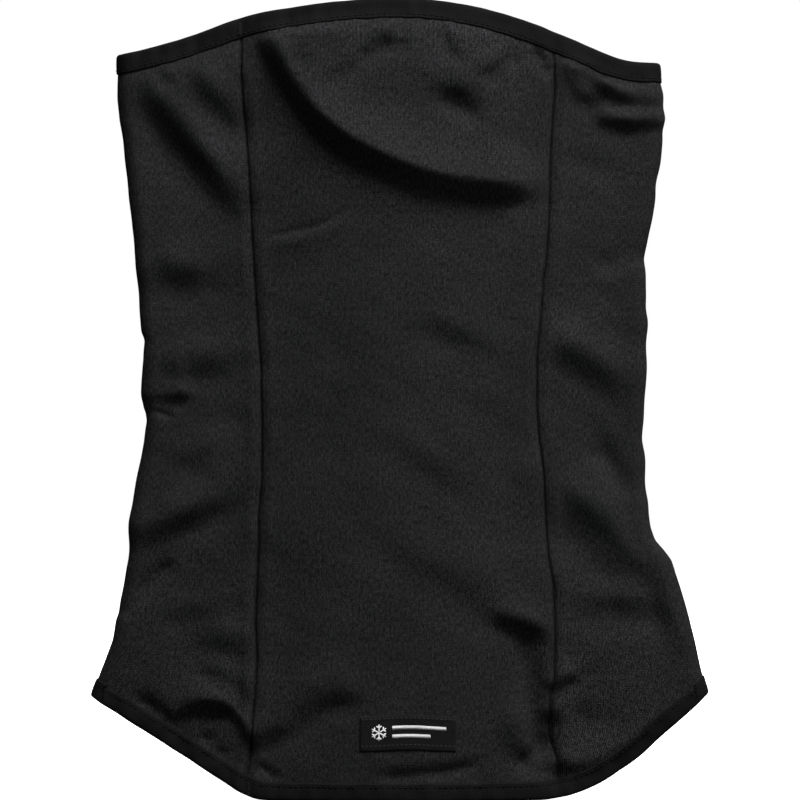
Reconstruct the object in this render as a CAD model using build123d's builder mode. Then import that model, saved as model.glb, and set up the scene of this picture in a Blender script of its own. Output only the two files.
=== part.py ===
from build123d import *
import math
import os

# Neck gaiter, sewn from four knit panels into a tapered tube, both openings
# finished with a folded elastic binding.  Millimetres.
# +Z runs up the neck, -Y is the front, +X is the wearer's left.
# Origin: centre of the tube, level with the lowest edge of the hem.
# On both faces of the tube an offset is positive outward, negative inward.

# ---------------------------------------------------------------- dimensions
FABRIC_T = 1.6          # double-faced fleece knit
SIDE_FOLD_R = 6.5       # half the tube's depth where the flanks meet a side fold
SEAM_GAP = 0.12         # half of the needle gap between two joined panels
BACK_PLANE_Y = 20.0     # the back lies flat on this plane
FLAT_BACK_SHARE = 0.30  # share of the half width over which the back is level

ALLOWANCE_W = 5.5       # far edge of a seam allowance, from its panel's edge
ALLOWANCE_T = 1.4       # how far the pressed allowance stands off the inner face
ALLOWANCE_EMBED = 0.3   # how far it sinks into the panel
ALLOWANCE_INSET = 0.06  # the cut edge sits just behind the panel's edge
ALLOWANCE_END_GAP = 0.6     # from the end of an allowance to the binding

BINDING_W = 9.0         # finished width of the folded elastic binding
BINDING_T = 0.85        # one leaf of the binding
BINDING_CLEAR = 0.15    # loft under the leaf
BINDING_GAP = 0.15      # the panels end this far short of the binding
BINDING_OUTER = BINDING_CLEAR + BINDING_T
BINDING_INNER = FABRIC_T + BINDING_CLEAR + BINDING_T

# Cross-sections, from the bottom up.
# Columns: z, half width, front depth, back depth, x of the left-hand seams.
SECTIONS = [
    (-8, 149.0, 19.8, 19.6, 73.8),
    (35, 146.5, 19.8, 20.0, 72.2),
    (80, 136.0, 19.6, 20.5, 69.9),
    (125, 124.6, 18.9, 20.5, 67.4),
    (190, 117.6, 18.2, 20.5, 65.2),
    (260, 121.0, 18.6, 20.5, 68.2),
    (320, 127.0, 19.0, 20.1, 72.0),
    (384, 127.6, 17.5, 18.6, 74.5),
]
LEVELS, HALF_WIDTH, DEPTH_FRONT, DEPTH_BACK, SEAM_X = zip(*SECTIONS)
BOTTOM_SECTIONS = [0, 1, 2]     # sections that reach across the lower binding
TOP_SECTIONS = [6, 7]           # sections that reach across the upper binding

# Right halves of the edge outlines, as (x, z) points on the XZ plane: the
# lower hem is flat in the middle, then rises to the side folds; the upper edge
# domes over the nose at the front and dips slightly behind the neck.
HEM_RISE = [
    (56.0, 0.0), (68.0, 1.3), (80.0, 5.0), (94.0, 12.6),
    (117.5, 28.6), (144.3, 48.9), (158.0, 59.4), (172.0, 70.0),
]
TOP_FRONT = [
    (0.0, 375.0), (23.5, 373.8), (47.0, 370.2), (70.5, 364.0), (90.0, 356.4),
    (106.0, 350.0), (119.0, 348.1), (132.0, 348.0), (172.0, 348.0),
]
TOP_BACK = [
    (0.0, 342.0), (35.0, 342.6), (70.0, 344.4), (100.0, 347.0),
    (119.0, 348.0), (132.0, 348.0), (172.0, 348.0),
]

THROUGH = 60.0          # half depth of every trimming prism


# ------------------------------------------------------- points on the tube
def flat_back(s):
    """1 in the middle of the back, easing to 0 at the side fold."""
    u = min(max((abs(s) - FLAT_BACK_SHARE) / (1.0 - FLAT_BACK_SHARE), 0.0), 1.0)
    return 1.0 - u * u * (3.0 - 2.0 * u)


def domed_front(s):
    """1 in the middle of the front, falling to 0 at the side fold."""
    return math.cos(0.5 * math.pi * min(abs(s), 1.0)) ** 2


def flank_reach(i):
    """Distance from the centre to where section i turns into the side fold."""
    return HALF_WIDTH[i] - SIDE_FOLD_R


def face_point(i, x, front):
    """Point on the flank at section i, with its outward normal: x, y, nx, ny."""
    reach = flank_reach(i)
    rise = (DEPTH_FRONT[i] if front else DEPTH_BACK[i]) - SIDE_FOLD_R
    shape = domed_front if front else flat_back
    y = SIDE_FOLD_R + rise * shape(x / reach)
    step = 0.05
    slope = rise * (shape((x + step) / reach) - shape((x - step) / reach)) / (2 * step)
    length = math.hypot(1.0, slope)
    sign = -1.0 if front else 1.0
    return x, sign * y, -slope / length, sign / length


def even(start, end, count):
    return [start + (end - start) * k / (count - 1) for k in range(count)]


def face_path(i, front, start, end, count):
    """Evenly spaced flank points of section i between two x values."""
    return [face_point(i, x, front) for x in even(start, end, count)]


def shifted(path, offset):
    """The path's (x, y) points, moved along their normals."""
    return [(x + nx * offset, y + ny * offset) for x, y, nx, ny in path]


def level_below(z):
    """Index of the level below z, and the share of the way to the next one."""
    k = max(k for k in range(len(LEVELS) - 1) if LEVELS[k] <= z)
    return k, (z - LEVELS[k]) / (LEVELS[k + 1] - LEVELS[k])


# ------------------------------------- cross-sections, in the current sketch
def strip_face(path, outer, inner):
    """Closed strip between two offsets of an open path."""
    a, b = shifted(path, outer), shifted(path, inner)
    with BuildLine() as outline:
        Spline(*a)
        Line(a[-1], b[-1])
        Spline(*b)
        Line(b[0], a[0])
    make_face(outline.edges())


def fold_arc(i, side, offset, start, end):
    """The relaxed fold at one side, in the current line."""
    ThreePointArc(start, (side * (HALF_WIDTH[i] + offset), 0), end)


def side_face(i, side):
    """A side panel's section: front flank, round the fold, back flank."""
    ends = side * (SEAM_X[i] + SEAM_GAP), side * flank_reach(i)
    front = face_path(i, True, *ends, 6)
    back = face_path(i, False, *ends, 6)
    front_out, front_in = shifted(front, 0.0), shifted(front, -FABRIC_T)
    back_out, back_in = shifted(back, 0.0), shifted(back, -FABRIC_T)
    with BuildLine() as outline:
        Spline(*front_out)
        fold_arc(i, side, 0.0, front_out[-1], back_out[-1])
        Spline(*back_out[::-1])
        Line(back_out[0], back_in[0])
        Spline(*back_in)
        fold_arc(i, side, -FABRIC_T, back_in[-1], front_in[-1])
        Spline(*front_in[::-1])
        Line(front_in[0], front_out[0])
    make_face(outline.edges())


def ring_loop(i, offset):
    """The tube's section once round, in the current line."""
    reach = flank_reach(i)
    joints = even(-reach, reach, 4)
    for front in (True, False):
        for start, end in zip(joints, joints[1:]):
            path = face_path(i, front, start, end, 5)
            # Tangents pointing to +X, so that neighbouring splines meet smoothly.
            tangents = [(abs(ny), -nx if ny > 0 else nx) for _, _, nx, ny in (path[0], path[-1])]
            Spline(*shifted(path, offset), tangents=tangents)
    for side in (-1, 1):
        ends = [face_point(i, side * reach, front) for front in (True, False)]
        fold_arc(i, side, offset, *shifted(ends, offset))


def ring_band(i, outer, inner):
    """The tube's section between two offsets."""
    with BuildLine() as outline:
        ring_loop(i, outer)
    make_face(outline.edges())
    with BuildLine() as hole:
        ring_loop(i, inner)
    make_face(hole.edges(), mode=Mode.SUBTRACT)


# ------------------------------------------------- edge outlines, on XZ
def inset_curve(points, distance, inward):
    """Offset an outline of (x, z) points; inward is +1 to move up, -1 down."""
    moved = []
    for k, (x, z) in enumerate(points):
        (x0, z0), (x1, z1) = points[max(k - 1, 0)], points[min(k + 1, len(points) - 1)]
        if k == 0:      # the outline starts level
            x0, z0, x1, z1 = 0.0, 0.0, 1.0, 0.0
        reach = inward * distance / math.hypot(x1 - x0, z1 - z0)
        moved.append((x - (z1 - z0) * reach, z + (x1 - x0) * reach))
    return moved


def mirrored(points):
    return [(-x, z) for x, z in reversed(points)]


def top_line(points, distance):
    """Both halves of an upper edge, moved below the finished edge."""
    half = inset_curve(points, distance, -1)
    return mirrored(half)[:-1] + half


def hem_line(distance):
    """Both halves of the lower edge, moved above the finished edge."""
    half = inset_curve(HEM_RISE, distance, 1)
    return mirrored(half) + half


def ribbon(first, second):
    """Face in the current sketch between two open point lists running the same way."""
    with BuildLine() as outline:
        Polyline(*first)
        Line(first[-1], second[-1])
        Polyline(*second)
        Line(second[0], first[0])
    make_face(outline.edges())


# --------------------------------------------------- trimming tools (not kept)
def trimming_space(margin):
    """Everything further than the margin inside both finished edges."""
    with BuildPart() as space:
        with BuildSketch(Plane.XZ):
            ribbon(hem_line(margin), top_line(TOP_FRONT, margin))
        extrude(amount=THROUGH)
        with BuildSketch(Plane.XZ):
            ribbon(hem_line(margin), top_line(TOP_BACK, margin))
        extrude(amount=-THROUGH)
    return space.part


PANEL_SPACE = trimming_space(BINDING_W + BINDING_GAP)
SEAM_SPACE = trimming_space(BINDING_W + ALLOWANCE_END_GAP)


# -------------------------------------------------------------------- panels
def seam_allowances(seams, start, end):
    """Allowances along (front, side) seams, between two distances outward of each."""
    with BuildPart() as allowances:
        for front, side in seams:
            for i, z in enumerate(LEVELS):
                with BuildSketch(Plane.XY.offset(z)):
                    ends = side * (SEAM_X[i] + start), side * (SEAM_X[i] + end)
                    strip_face(
                        face_path(i, front, *ends, 3),
                        -(FABRIC_T - ALLOWANCE_EMBED),
                        -(FABRIC_T + ALLOWANCE_T),
                    )
            loft(ruled=True)
        add(SEAM_SPACE, mode=Mode.INTERSECT)
    return allowances.part


def centre_panel(front):
    """The front or back panel, between its two seams."""
    allowances = seam_allowances(
        [(front, -1), (front, 1)],
        -(SEAM_GAP + ALLOWANCE_W),
        -(SEAM_GAP + ALLOWANCE_INSET),
    )
    with BuildPart() as panel:
        for i, z in enumerate(LEVELS):
            with BuildSketch(Plane.XY.offset(z)):
                edge = SEAM_X[i] - SEAM_GAP
                strip_face(face_path(i, front, -edge, edge, 7), 0.0, -FABRIC_T)
        loft(ruled=True)
        add(PANEL_SPACE, mode=Mode.INTERSECT)
        if not front:
            split(bisect_by=Plane.XZ.offset(-BACK_PLANE_Y), keep=Keep.TOP)
        add(allowances)
    return panel.part


def side_panel(side):
    """The panel round one side fold, from the front seam to the back seam."""
    allowances = seam_allowances(
        [(True, side), (False, side)],
        SEAM_GAP + ALLOWANCE_INSET,
        SEAM_GAP + ALLOWANCE_W,
    )
    with BuildPart() as panel:
        for i, z in enumerate(LEVELS):
            with BuildSketch(Plane.XY.offset(z)):
                side_face(i, side)
        loft(ruled=True)
        add(PANEL_SPACE, mode=Mode.INTERSECT)
        add(allowances)
    return panel.part


# ------------------------------------------------------------------ bindings
# Tape folded over the fabric's edge, filled as one band.
def binding_shell(sections):
    """The room a folded binding takes up: leaf, fabric edge and leaf."""
    with BuildPart() as shell:
        for i in sections:
            with BuildSketch(Plane.XY.offset(LEVELS[i])):
                ring_band(i, BINDING_OUTER, -BINDING_INNER)
        loft(ruled=True)
    return shell.part


def top_binding():
    shell = binding_shell(TOP_SECTIONS)
    with BuildPart() as binding:
        for points, depth in ((TOP_FRONT, THROUGH), (TOP_BACK, -THROUGH)):
            with BuildSketch(Plane.XZ):
                ribbon(top_line(points, 0.0), top_line(points, BINDING_W))
            extrude(amount=depth)
        add(shell, mode=Mode.INTERSECT)
    return binding.part


def bottom_binding():
    shell = binding_shell(BOTTOM_SECTIONS)
    with BuildPart() as binding:
        with BuildSketch(Plane.XZ):
            ribbon(hem_line(0.0), hem_line(BINDING_W))
        extrude(amount=THROUGH, both=True)
        add(shell, mode=Mode.INTERSECT)
    return binding.part


# ------------------------------------------------------------------- threads
# Overlock thread on the inside of each long seam, a narrow band across both
# pressed-open allowances, running up most of the seam.
THREAD_HALF_W = 2.6
THREAD_T = 0.40
THREAD_OFF = 0.26       # clearance to the allowances
THREAD_LOW_Z = 16.0
THREAD_HIGH_Z_FRONT, THREAD_HIGH_Z_BACK = 345.0, 330.0


def thread_corners(i, front, side):
    """Four corners of the band's section at one level: one flat section,
    shifted from level to level, so that every face of the band is flat."""
    normals = [face_point(k, side * SEAM_X[k], front)[2:] for k in range(len(LEVELS))]
    slope = sum(-nx / ny for nx, ny in normals) / len(normals)
    seam = face_point(i, side * SEAM_X[i], front)
    x, y = shifted([seam], -(FABRIC_T + ALLOWANCE_T + THREAD_OFF))[0]
    inward = THREAD_T if front else -THREAD_T
    half_w, half_rise = THREAD_HALF_W, THREAD_HALF_W * slope
    return [
        (x - half_w, y - half_rise),
        (x + half_w, y + half_rise),
        (x + half_w, y + half_rise + inward),
        (x - half_w, y - half_rise + inward),
    ]


def thread_section(z, front, side):
    """The same four corners at any height, read straight between two levels."""
    k, t = level_below(z)
    low, high = thread_corners(k, front, side), thread_corners(k + 1, front, side)
    return [(a[0] + (b[0] - a[0]) * t, a[1] + (b[1] - a[1]) * t) for a, b in zip(low, high)]


def seam_thread(front, side):
    top_z = THREAD_HIGH_Z_FRONT if front else THREAD_HIGH_Z_BACK
    with BuildPart() as thread:
        for z in (THREAD_LOW_Z, *LEVELS[1:-1], top_z):
            with BuildSketch(Plane.XY.offset(z)):
                with BuildLine() as outline:
                    Polyline(*thread_section(z, front, side), close=True)
                make_face(outline.edges())
        loft(ruled=True)
    return thread.part


# ------------------------------------------------------------------ bartacks
# One tack across each binding where the two ends of the tape overlap: a short
# ladder of stitches just off the outer leaf, at the front.
TACK_STITCH = (1.7, 0.35, 0.4)      # x, y and z size of one stitch
TACK_COUNT = 9
TACK_PITCH = 0.52
TACK_START = 1.6        # from the finished edge to the first stitch
TACK_LIFT = 0.3         # gap between leaf and stitch


def front_y(x, z):
    """Y of the front face at (x, z), read straight between two levels."""
    k, t = level_below(z)
    y0, y1 = face_point(k, x, True)[1], face_point(k + 1, x, True)[1]
    return y0 + (y1 - y0) * t


def bartack(x, edge_z, inward):
    """Ladder of stitches from an edge; inward is +1 to run up, -1 down."""
    stand_off = BINDING_OUTER + TACK_LIFT + TACK_STITCH[1] / 2
    spots = []
    for k in range(TACK_COUNT):
        z = edge_z + inward * (TACK_START + TACK_PITCH * k)
        spots.append(Pos(x, front_y(x, z) - stand_off, z))
    with BuildPart() as tack:
        with Locations(*spots):
            Box(*TACK_STITCH)
    return tack.part


# -------------------------------------------------------------------- labels
# Each label layer is a strip hugging a single cross-section of the tube over
# the label's height, trimmed to the layer's outline.
LABEL_W, LABEL_H, LABEL_T = 44.0, 14.6, 0.7
LABEL_X, LABEL_Z = 4.2, 33.2
LABEL_CORNER_R = 0.8
LABEL_LIFT = 0.12       # gap between panel and label
LABEL_FACE = LABEL_LIFT + LABEL_T
LABEL_DETAIL_BASE = LABEL_FACE + 0.03   # emblem and stitches start here
LABEL_STRIP_Z = (18, 25, 33, 41, 48)
LABEL_PATH = face_path(1, True, -30, 40, 9)

EMBLEM_T = 0.16
CRYSTAL_X, CRYSTAL_Z = LABEL_X - 13.4, LABEL_Z + 0.2
ARM_L, ARM_W = 4.2, 0.55
BARB_L, BARB_W, BARB_ANGLE = 1.5, 0.5, 55
BARB_OUT, BARB_ASIDE = 2.75, 0.55   # barb centre along the arm and beside it
BAR_H = 1.1
EMBLEM_BARS = [(5.2, 1.4, 24.0), (1.2, -1.2, 16.0)]  # x, z from label centre; length

LABEL_STITCH_L, LABEL_STITCH_W, LABEL_STITCH_T = 1.5, 0.42, 0.22
LABEL_STITCH_PITCH = 2.15
LABEL_STITCH_COUNT = 20
STITCH_TOP_Z = LABEL_Z + LABEL_H / 2 - 1.3
STITCH_BOTTOM_Z = LABEL_Z - LABEL_H / 2 + 1.9

CARE_W, CARE_L, CARE_T = 20.0, 34.0, 0.35
CARE_X, CARE_Z = 22.0, 300.0
CARE_GAP = 0.9          # between the back panel's inner face and the care label
CARE_STRIP_Z = (255, 275, 295, 315, 330)
CARE_PATH = face_path(5, False, CARE_X - 20, CARE_X + 20, 7)


def hugging_strip(path, heights, outer, inner):
    """Upright strip with one cross-section over all the heights."""
    with BuildPart() as strip:
        for z in heights:
            with BuildSketch(Plane.XY.offset(z)):
                strip_face(path, outer, inner)
        loft(ruled=True)
    return strip.part


def label_patch():
    strip = hugging_strip(LABEL_PATH, LABEL_STRIP_Z, LABEL_FACE, LABEL_LIFT)
    with BuildPart() as patch:
        add(strip)
        with BuildSketch(Plane.XZ):
            with Locations((LABEL_X, LABEL_Z)):
                RectangleRounded(LABEL_W, LABEL_H, LABEL_CORNER_R)
        extrude(amount=THROUGH, mode=Mode.INTERSECT)
    return patch.part


def label_detail_strip(thickness):
    """Strip in front of the label's face."""
    outer = LABEL_DETAIL_BASE + thickness
    return hugging_strip(LABEL_PATH, LABEL_STRIP_Z, outer, LABEL_DETAIL_BASE)


def label_emblem():
    """A plain six-armed snow crystal beside two bars."""
    strip = label_detail_strip(EMBLEM_T)
    with BuildPart() as emblem:
        add(strip)
        with BuildSketch(Plane.XZ):
            with Locations((CRYSTAL_X, CRYSTAL_Z)):
                with PolarLocations(0, 6):
                    with Locations((ARM_L / 2, 0)):
                        Rectangle(ARM_L, ARM_W)
                    for side in (1, -1):
                        with Locations((BARB_OUT, side * BARB_ASIDE)):
                            Rectangle(BARB_L, BARB_W, rotation=side * BARB_ANGLE)
            for dx, dz, length in EMBLEM_BARS:
                with Locations((LABEL_X + dx, LABEL_Z + dz)):
                    SlotOverall(length, BAR_H)
        extrude(amount=THROUGH, mode=Mode.INTERSECT)
    return emblem.part


def label_stitches(row_z):
    """One row of stitches along the label."""
    strip = label_detail_strip(LABEL_STITCH_T)
    with BuildPart() as row:
        add(strip)
        with BuildSketch(Plane.XZ):
            with Locations((LABEL_X, row_z)):
                with GridLocations(LABEL_STITCH_PITCH, 0, LABEL_STITCH_COUNT, 1):
                    SlotOverall(LABEL_STITCH_L, LABEL_STITCH_W)
        extrude(amount=THROUGH, mode=Mode.INTERSECT)
    return row.part


def care_label():
    """Satin ribbon hanging inside the back, below the upper binding."""
    face = -(FABRIC_T + CARE_GAP)
    strip = hugging_strip(CARE_PATH, CARE_STRIP_Z, face, face - CARE_T)
    with BuildPart() as label:
        add(strip)
        with BuildSketch(Plane.XZ):
            with Locations((CARE_X, CARE_Z)):
                Rectangle(CARE_W, CARE_L)
        extrude(amount=-THROUGH, mode=Mode.INTERSECT)
    return label.part


# -------------------------------------------------------------------- output
pieces = {
    "front_panel": centre_panel(front=True),
    "back_panel": centre_panel(front=False),
    "left_side_panel": side_panel(side=1),
    "right_side_panel": side_panel(side=-1),
    "top_binding": top_binding(),
    "bottom_binding": bottom_binding(),
    "top_binding_bartack": bartack(x=-74.2, edge_z=361.8, inward=-1),
    "bottom_binding_bartack": bartack(x=-68.6, edge_z=1.4, inward=1),
    "front_left_seam_thread": seam_thread(front=True, side=1),
    "front_right_seam_thread": seam_thread(front=True, side=-1),
    "back_left_seam_thread": seam_thread(front=False, side=1),
    "back_right_seam_thread": seam_thread(front=False, side=-1),
    "label_patch": label_patch(),
    "label_emblem": label_emblem(),
    "label_stitch_top": label_stitches(STITCH_TOP_Z),
    "label_stitch_bottom": label_stitches(STITCH_BOTTOM_Z),
    "care_label": care_label(),
}

os.makedirs("parts", exist_ok=True)
for name, part in pieces.items():
    part.label = name
    export_step(part, f"parts/{name}.step")
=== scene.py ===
# A knitted tube garment, open at both ends: a front, a back and two side panels, a folded
# elastic tape round each opening, and a stitched label low on the front.
# It stands upright, front towards -Y, the wearer's left towards +X, the lowest point of
# the hem at z = 0.  Left and right are always the wearer's.

import math
from functools import reduce

import bmesh
import bpy
import numpy as np
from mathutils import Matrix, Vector


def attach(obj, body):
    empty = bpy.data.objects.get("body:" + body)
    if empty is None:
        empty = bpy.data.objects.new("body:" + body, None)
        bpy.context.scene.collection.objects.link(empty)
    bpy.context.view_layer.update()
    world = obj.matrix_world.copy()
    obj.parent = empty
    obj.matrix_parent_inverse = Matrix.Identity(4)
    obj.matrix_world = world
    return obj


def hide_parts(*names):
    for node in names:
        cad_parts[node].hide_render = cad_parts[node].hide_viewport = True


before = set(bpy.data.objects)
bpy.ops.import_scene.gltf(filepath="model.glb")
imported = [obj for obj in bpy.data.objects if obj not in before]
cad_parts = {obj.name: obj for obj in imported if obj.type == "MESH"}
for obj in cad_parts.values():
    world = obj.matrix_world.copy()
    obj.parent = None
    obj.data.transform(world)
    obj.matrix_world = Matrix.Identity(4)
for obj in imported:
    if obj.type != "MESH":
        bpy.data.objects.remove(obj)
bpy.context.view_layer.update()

MM = 1e-3                        # tables are in millimetres, the scene is in metres
FRONT, LEFT_FOLD, BACK, RIGHT_FOLD = range(4)   # the four faces round the tube
FOLD_RADIUS = 6.5 * MM           # relaxed fold down each side
CLOTH = 1.6 * MM                 # cloth thickness
STEP = 1.2       # mesh pitch across the front, mm
BACK_STEP = STEP * 1.25
RING_STEP = 0.9  # mesh pitch along the bindings, mm
ROW_SPAN = 0.375                 # height the panel rows are counted over
EDGE_INSET = 2.0 * MM            # cloth stops this far inside the binding's fold
SEAM_GAP = 0.02 * MM             # half the gap between panels
SEAM_ALLOWANCE = 1.3 * MM        # extra thickness inside a seam

# ------------------------------------------------------------------ outlines
# Sides and seams, from the top down: (z, x).
RIGHT_SIDE = [
    (384.93, -131.835), (356.73, -131.835), (337.93, -131.835), (328.53, -132.305),
    (319.13, -131.835), (309.73, -130.425), (300.33, -129.485), (290.93, -128.075),
    (281.53, -127.135), (272.13, -125.725), (262.73, -124.785), (253.33, -123.845),
    (243.93, -123.375), (234.53, -122.905), (225.13, -121.965), (219.49, -121.495),
    (215.73, -119.85), (211.97, -119.85), (206.33, -119.615), (196.93, -120.555),
    (187.53, -121.025), (182.83, -120.555), (178.13, -118.675), (173.43, -119.615),
    (168.73, -120.085), (159.33, -121.495), (149.93, -123.375), (140.53, -124.785),
    (131.13, -126.195), (121.73, -127.135), (112.33, -128.075), (102.93, -129.955),
    (93.53, -131.835), (84.13, -133.245), (74.73, -134.655), (65.33, -137.945),
    (55.93, -141.705), (47.94, -144.525), (37.13, -147.345), (18.33, -152.045),
    (-9.87, -159.565),
]
LEFT_SIDE = [
    (384.93, 120.555), (356.73, 121.025), (337.93, 121.495), (328.53, 122.435),
    (319.13, 123.375), (309.73, 123.845), (300.33, 122.905), (290.93, 121.495),
    (281.53, 120.085), (272.13, 118.675), (262.73, 116.795), (253.33, 114.915),
    (243.93, 115.385), (234.53, 115.855), (225.13, 116.325), (215.73, 115.855),
    (206.33, 115.385), (196.93, 114.915), (187.53, 114.915), (178.13, 114.915),
    (168.73, 114.445), (159.33, 114.915), (149.93, 115.385), (140.53, 116.325),
    (133.48, 116.325), (127.84, 117.03), (121.73, 119.145), (117.03, 123.375),
    (112.33, 126.9), (102.93, 129.955), (93.53, 132.775), (84.13, 135.595),
    (74.73, 138.415), (65.33, 140.765), (55.93, 143.115), (51.23, 144.525),
    (37.13, 147.815), (18.33, 152.515), (-9.87, 160.035),
]
RIGHT_SEAM = [
    (384.93, -74.025), (357.2, -74.025), (338.87, -74.025), (322.89, -73.085),
    (308.32, -71.675), (294.22, -70.265), (279.65, -69.795), (264.61, -69.325),
    (227.95, -66.975), (203.04, -65.095), (178.6, -64.625), (148.52, -64.625),
    (133.95, -66.27), (121.73, -66.035), (102.46, -66.975), (83.19, -67.68),
    (68.15, -66.74), (56.4, -66.975), (45.12, -67.915), (30.55, -68.855),
    (21.15, -69.795), (13.16, -71.205), (-9.87, -72.615),
]
LEFT_SEAM = [
    (384.93, 72.145), (348.74, 72.145), (332.29, 72.615), (318.19, 71.675),
    (298.92, 70.735), (274.95, 70.265), (253.8, 68.855), (242.52, 67.445),
    (219.96, 65.565), (208.21, 64.39), (183.3, 64.39), (168.73, 65.565),
    (153.69, 67.445), (138.65, 68.385), (113.27, 69.795), (100.11, 72.145),
    (73.32, 72.615), (56.87, 72.145), (46.06, 70.5), (30.08, 70.735),
    (19.27, 73.555), (-9.87, 75.435),
]
# Upper and lower edges, from right to left: (x, z).
TOP_FRONT = [
    (-159.565, 349.21), (-131.835, 349.445), (-124.315, 350.855), (-117.265, 352.5),
    (-110.215, 354.38), (-103.165, 356.26), (-96.115, 358.61), (-89.065, 360.96),
    (-82.015, 363.78), (-74.965, 366.13), (-67.915, 368.01), (-60.865, 369.42),
    (-53.815, 370.36), (-46.765, 371.3), (-39.715, 372.24), (-32.665, 373.18),
    (-25.615, 373.65), (-18.565, 374.355), (-11.515, 374.825), (-4.465, 375.06),
    (2.585, 375.06), (9.635, 374.778), (16.685, 374.12), (23.735, 373.18),
    (30.785, 372.146), (37.835, 370.83), (44.885, 368.95), (51.935, 367.07),
    (58.985, 364.955), (66.035, 362.37), (73.085, 359.55), (80.135, 356.73),
    (87.185, 353.675), (94.235, 350.62), (101.285, 347.8), (108.335, 346.155),
    (115.385, 345.685), (121.025, 345.685), (150.635, 345.685),
]
TOP_BACK = [
    (-159.565, 349.21), (-131.835, 349.445), (-117.265, 347.8), (-93.765, 344.51),
    (-65.565, 342.16), (-32.665, 340.75), (0.235, 340.28), (33.135, 340.75),
    (66.035, 342.16), (94.235, 343.57), (113.035, 344.98), (121.025, 345.685),
    (150.635, 345.685),
]
HEM = [
    (-173.665, 68.15), (-159.565, 58.28), (-144.055, 47.705), (-138.415, 44.18),
    (-131.365, 39.95), (-124.315, 35.25), (-117.265, 31.02), (-110.215, 26.79),
    (-103.165, 22.09), (-96.115, 17.86), (-89.065, 13.16), (-82.015, 8.93),
    (-74.965, 4.23), (-67.915, 1.175), (-60.865, 0.47), (-32.665, 0.188),
    (0.235, 0), (33.135, 0.188), (58.985, 0.47), (67.445, 0.705), (73.085, 1.41),
    (80.135, 2.82), (87.185, 5.17), (94.235, 8.46), (101.285, 12.69), (108.335, 17.39),
    (115.385, 23.03), (122.435, 29.61), (129.485, 35.72), (136.535, 41.83),
    (143.585, 48.41), (155.335, 59.69), (169.435, 72.38),
]


def smoothed(points, samples, kernel):
    """Evenly sampled, lightly smoothed copy of a table, in metres, without corners."""
    key, value = np.array(sorted(points)).T * MM
    keys = np.linspace(key[0], key[-1], samples)
    values = np.pad(np.interp(keys, key, value), len(kernel) // 2, mode="edge")
    return keys, np.convolve(values, kernel / kernel.sum(), mode="valid")


RIGHT_SIDE, LEFT_SIDE, RIGHT_SEAM, LEFT_SEAM = (
    smoothed(t, 1400, np.hanning(17)) for t in (RIGHT_SIDE, LEFT_SIDE, RIGHT_SEAM, LEFT_SEAM))
TOP_FRONT, TOP_BACK, HEM = (smoothed(t, 900, np.ones(15)) for t in (TOP_FRONT, TOP_BACK, HEM))


def at(outline, key):
    return np.interp(key, *outline)


def seam(side, z):
    """Plan x of a seam; side is 1 for the left, -1 for the right."""
    return at(LEFT_SEAM if side > 0 else RIGHT_SEAM, z)


def fold_centre(side, z):
    """Plan x of the axis of a side fold."""
    return at(LEFT_SIDE, z) - FOLD_RADIUS if side > 0 else at(RIGHT_SIDE, z) + FOLD_RADIUS


def fold_x(side, angle, z):
    return fold_centre(side, z) + side * FOLD_RADIUS * np.cos(angle)


def edge_height(face, x, upper):
    """Height of the upper or lower edge; the side folds follow the front."""
    if not upper:
        return at(HEM, x)
    return at(TOP_BACK if face == BACK else TOP_FRONT, x)


def solve_edge(face, plan_x, upper):
    """Height where a line x = plan_x(z) meets an edge."""
    z = np.array(0.34 if upper else 0.05)
    for _ in range(12):
        z = edge_height(face, plan_x(z), upper)
    return float(z)


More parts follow.
